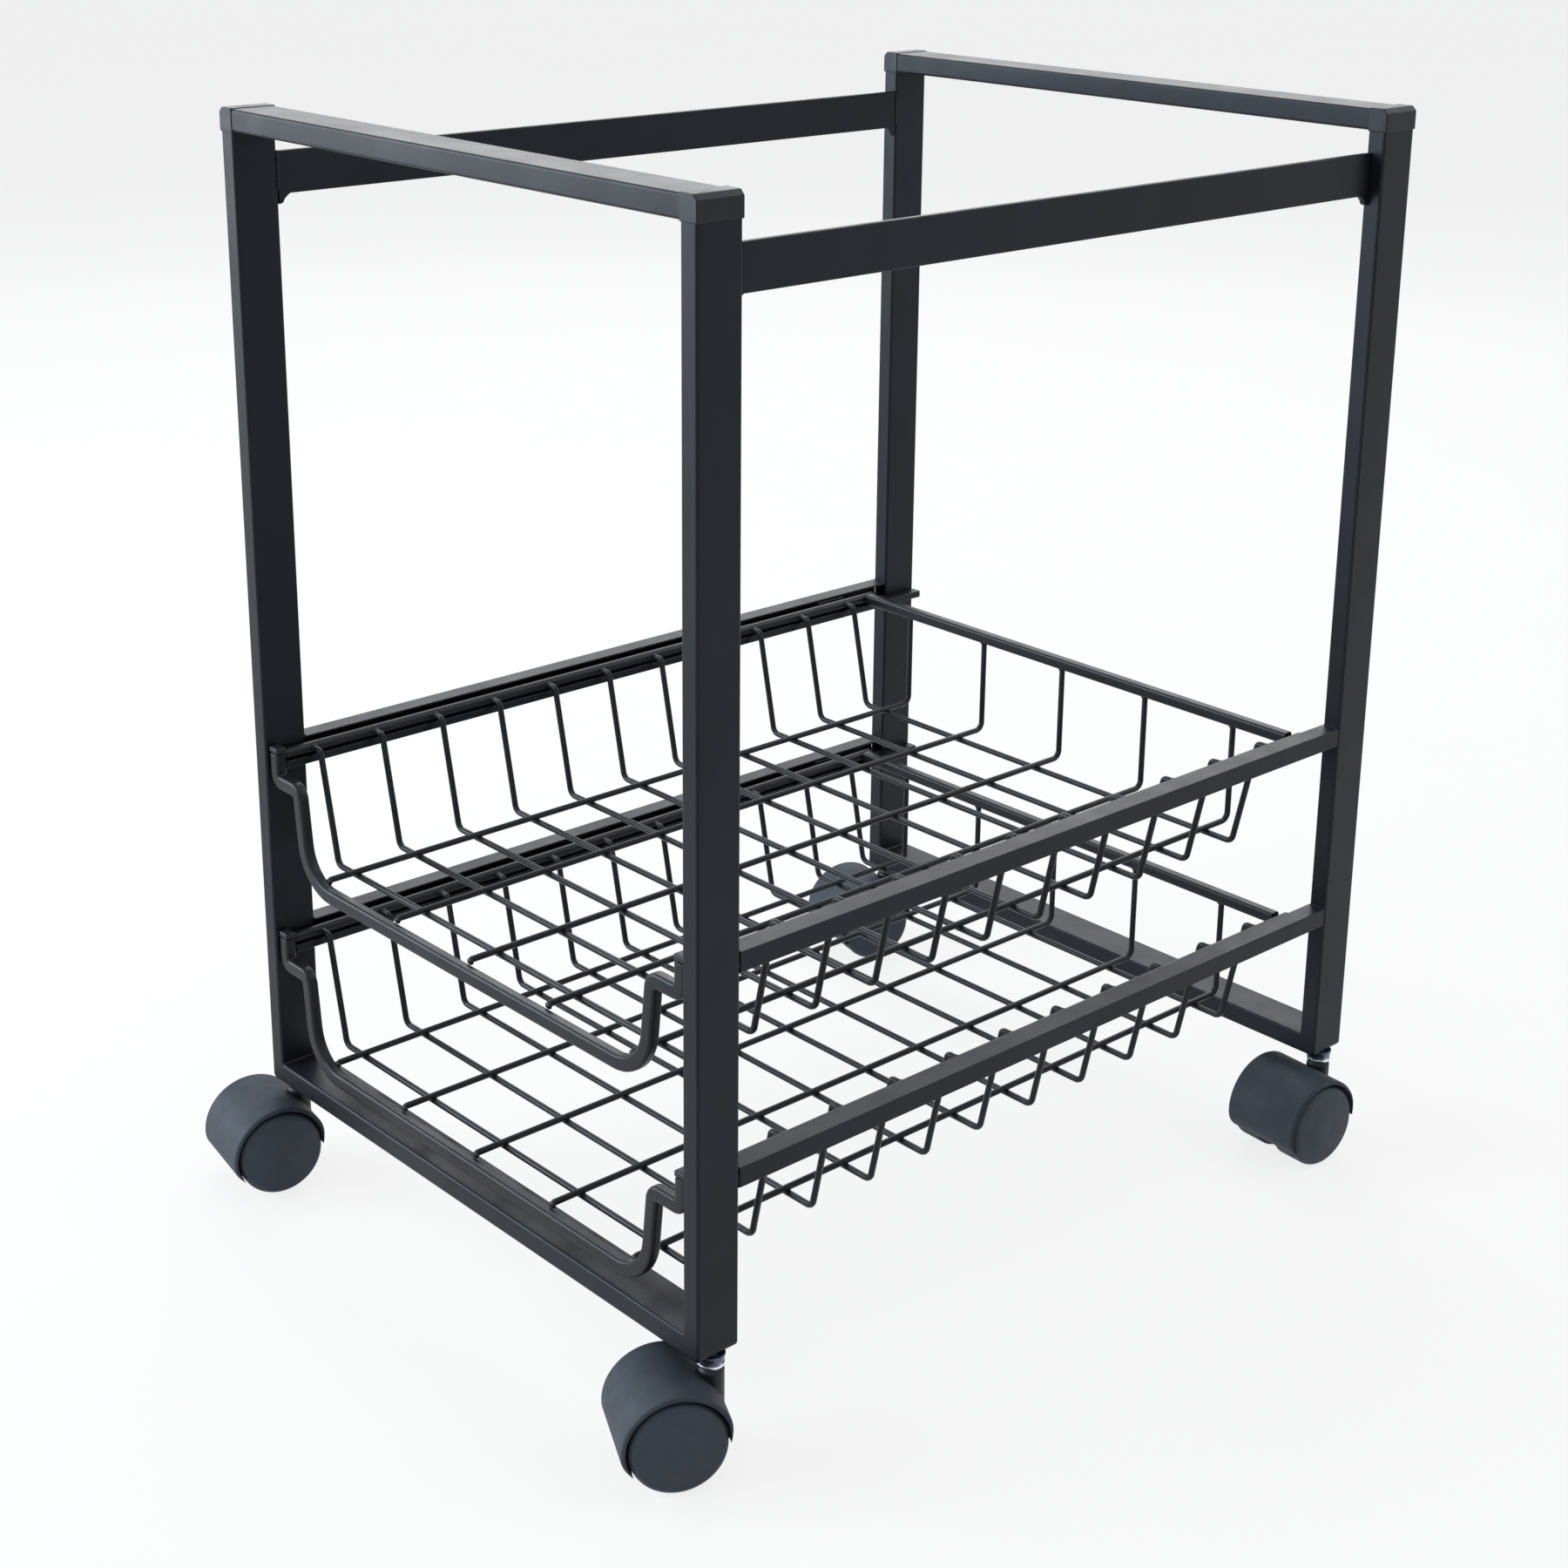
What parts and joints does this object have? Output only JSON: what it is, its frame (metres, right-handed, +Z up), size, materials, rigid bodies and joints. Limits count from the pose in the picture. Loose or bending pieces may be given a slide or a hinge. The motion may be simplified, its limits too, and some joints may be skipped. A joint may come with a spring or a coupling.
{
  "type": "file cart",
  "caption": "Rolling file cart: black flat-tube frame with hanging-file rails on top, sliding wire baskets below, on twin-wheel swivel casters.",
  "frame": {"origin": "on the floor, under the middle of the cart's overall box with its casters as they stand in the picture", "axes": "+Z up; X across the cart, from its left side to its right seen from the front; the baskets pull out to the front, which is -Y"},
  "size_m": [0.3714, 0.4676, 0.528],
  "materials": {
    "frame_paint": "semi-gloss black powder coat",
    "wire_coat": "semi-gloss black coating",
    "cap_plastic": "satin black moulding",
    "glide_plastic": "satin black moulding",
    "hood_plastic": "matte slate moulding",
    "wheel_plastic": "matte slate moulding",
    "stem_metal": "zinc plated"
  },
  "bodies": {
    "frame": {"bottom_rail_back": "frame_paint", "bottom_rail_front": "frame_paint", "caster_back_left_stem": "stem_metal", "caster_back_right_stem": "stem_metal", "caster_front_left_stem": "stem_metal", "caster_front_right_stem": "stem_metal", "corner_cap_back_left": "cap_plastic", "corner_cap_back_right": "cap_plastic", "corner_cap_front_left": "cap_plastic", "corner_cap_front_right": "cap_plastic", "hanging_rail_left": "frame_paint", "hanging_rail_right": "frame_paint", "leg_back_left": "frame_paint", "leg_back_right": "frame_paint", "leg_front_left": "frame_paint", "leg_front_right": "frame_paint", "runner_lower_left": "frame_paint", "runner_lower_right": "frame_paint", "runner_upper_left": "frame_paint", "runner_upper_right": "frame_paint", "slide_rail_lower_left": "frame_paint", "slide_rail_lower_right": "frame_paint", "slide_rail_upper_left": "frame_paint", "slide_rail_upper_right": "frame_paint", "top_rail_back": "frame_paint", "top_rail_front": "frame_paint"},
    "upper_basket": {"basket_upper_back_bar": "wire_coat", "basket_upper_end_plug_left": "cap_plastic", "basket_upper_end_plug_right": "cap_plastic", "basket_upper_front_bar": "wire_coat", "basket_upper_glide_left": "glide_plastic", "basket_upper_glide_right": "glide_plastic", "basket_upper_rod_left": "wire_coat", "basket_upper_rod_right": "wire_coat", "basket_upper_wire_grid": "wire_coat"},
    "lower_basket": {"basket_lower_back_bar": "wire_coat", "basket_lower_end_plug_left": "cap_plastic", "basket_lower_end_plug_right": "cap_plastic", "basket_lower_front_bar": "wire_coat", "basket_lower_glide_left": "glide_plastic", "basket_lower_glide_right": "glide_plastic", "basket_lower_rod_left": "wire_coat", "basket_lower_rod_right": "wire_coat", "basket_lower_wire_grid": "wire_coat"},
    "caster_front_left": {"caster_front_left_axle": "stem_metal", "caster_front_left_hood": "hood_plastic"},
    "caster_front_left_outer_wheel": {"caster_front_left_wheel_outer": "wheel_plastic"},
    "caster_front_left_inner_wheel": {"caster_front_left_wheel_inner": "wheel_plastic"},
    "caster_front_right": {"caster_front_right_axle": "stem_metal", "caster_front_right_hood": "hood_plastic"},
    "caster_front_right_outer_wheel": {"caster_front_right_wheel_outer": "wheel_plastic"},
    "caster_front_right_inner_wheel": {"caster_front_right_wheel_inner": "wheel_plastic"},
    "caster_back_left": {"caster_back_left_axle": "stem_metal", "caster_back_left_hood": "hood_plastic"},
    "caster_back_left_outer_wheel": {"caster_back_left_wheel_outer": "wheel_plastic"},
    "caster_back_left_inner_wheel": {"caster_back_left_wheel_inner": "wheel_plastic"},
    "caster_back_right": {"caster_back_right_axle": "stem_metal", "caster_back_right_hood": "hood_plastic"},
    "caster_back_right_outer_wheel": {"caster_back_right_wheel_outer": "wheel_plastic"},
    "caster_back_right_inner_wheel": {"caster_back_right_wheel_inner": "wheel_plastic"}
  },
  "joints": [
    {"name": "upper_basket_slide", "type": "slide", "parent": "frame", "child": "upper_basket", "axis": [0, -1, 0], "range_m": [0, 0.28]},
    {"name": "lower_basket_slide", "type": "slide", "parent": "frame", "child": "lower_basket", "axis": [0, -1, 0], "range_m": [0, 0.28]},
    {"name": "caster_front_left_swivel", "type": "hinge", "parent": "frame", "child": "caster_front_left", "pos_m": [-0.15392, -0.18619, 0.0445], "axis": [0, 0, 1], "continuous": true},
    {"name": "caster_front_left_outer_wheel_spin", "type": "hinge", "parent": "caster_front_left", "child": "caster_front_left_outer_wheel", "pos_m": [-0.15705, -0.20391, 0.021], "axis": [0.9848, -0.1736, 0], "continuous": true},
    {"name": "caster_front_left_inner_wheel_spin", "type": "hinge", "parent": "caster_front_left", "child": "caster_front_left_inner_wheel", "pos_m": [-0.15705, -0.20391, 0.021], "axis": [0.9848, -0.1736, 0], "continuous": true},
    {"name": "caster_front_right_swivel", "type": "hinge", "parent": "frame", "child": "caster_front_right", "pos_m": [0.16358, -0.18619, 0.0445], "axis": [0, 0, 1], "continuous": true},
    {"name": "caster_front_right_outer_wheel_spin", "type": "hinge", "parent": "caster_front_right", "child": "caster_front_right_outer_wheel", "pos_m": [0.15541, -0.20222, 0.021], "axis": [0.891, -0.454, 0], "continuous": true},
    {"name": "caster_front_right_inner_wheel_spin", "type": "hinge", "parent": "caster_front_right", "child": "caster_front_right_inner_wheel", "pos_m": [0.15541, -0.20222, 0.021], "axis": [0.891, -0.454, 0], "continuous": true},
    {"name": "caster_back_left_swivel", "type": "hinge", "parent": "frame", "child": "caster_back_left", "pos_m": [-0.15392, 0.22181, 0.0445], "axis": [0, 0, 1], "continuous": true},
    {"name": "caster_back_left_outer_wheel_spin", "type": "hinge", "parent": "caster_back_left", "child": "caster_back_left_outer_wheel", "pos_m": [-0.15858, 0.20443, 0.021], "axis": [0.9659, -0.2588, 0], "continuous": true},
    {"name": "caster_back_left_inner_wheel_spin", "type": "hinge", "parent": "caster_back_left", "child": "caster_back_left_inner_wheel", "pos_m": [-0.15858, 0.20443, 0.021], "axis": [0.9659, -0.2588, 0], "continuous": true},
    {"name": "caster_back_right_swivel", "type": "hinge", "parent": "frame", "child": "caster_back_right", "pos_m": [0.16358, 0.22181, 0.0445], "axis": [0, 0, 1], "continuous": true},
    {"name": "caster_back_right_outer_wheel_spin", "type": "hinge", "parent": "caster_back_right", "child": "caster_back_right_outer_wheel", "pos_m": [0.16232, 0.20386, 0.021], "axis": [0.9976, -0.0698, 0], "continuous": true},
    {"name": "caster_back_right_inner_wheel_spin", "type": "hinge", "parent": "caster_back_right", "child": "caster_back_right_inner_wheel", "pos_m": [0.16232, 0.20386, 0.021], "axis": [0.9976, -0.0698, 0], "continuous": true}
  ]
}
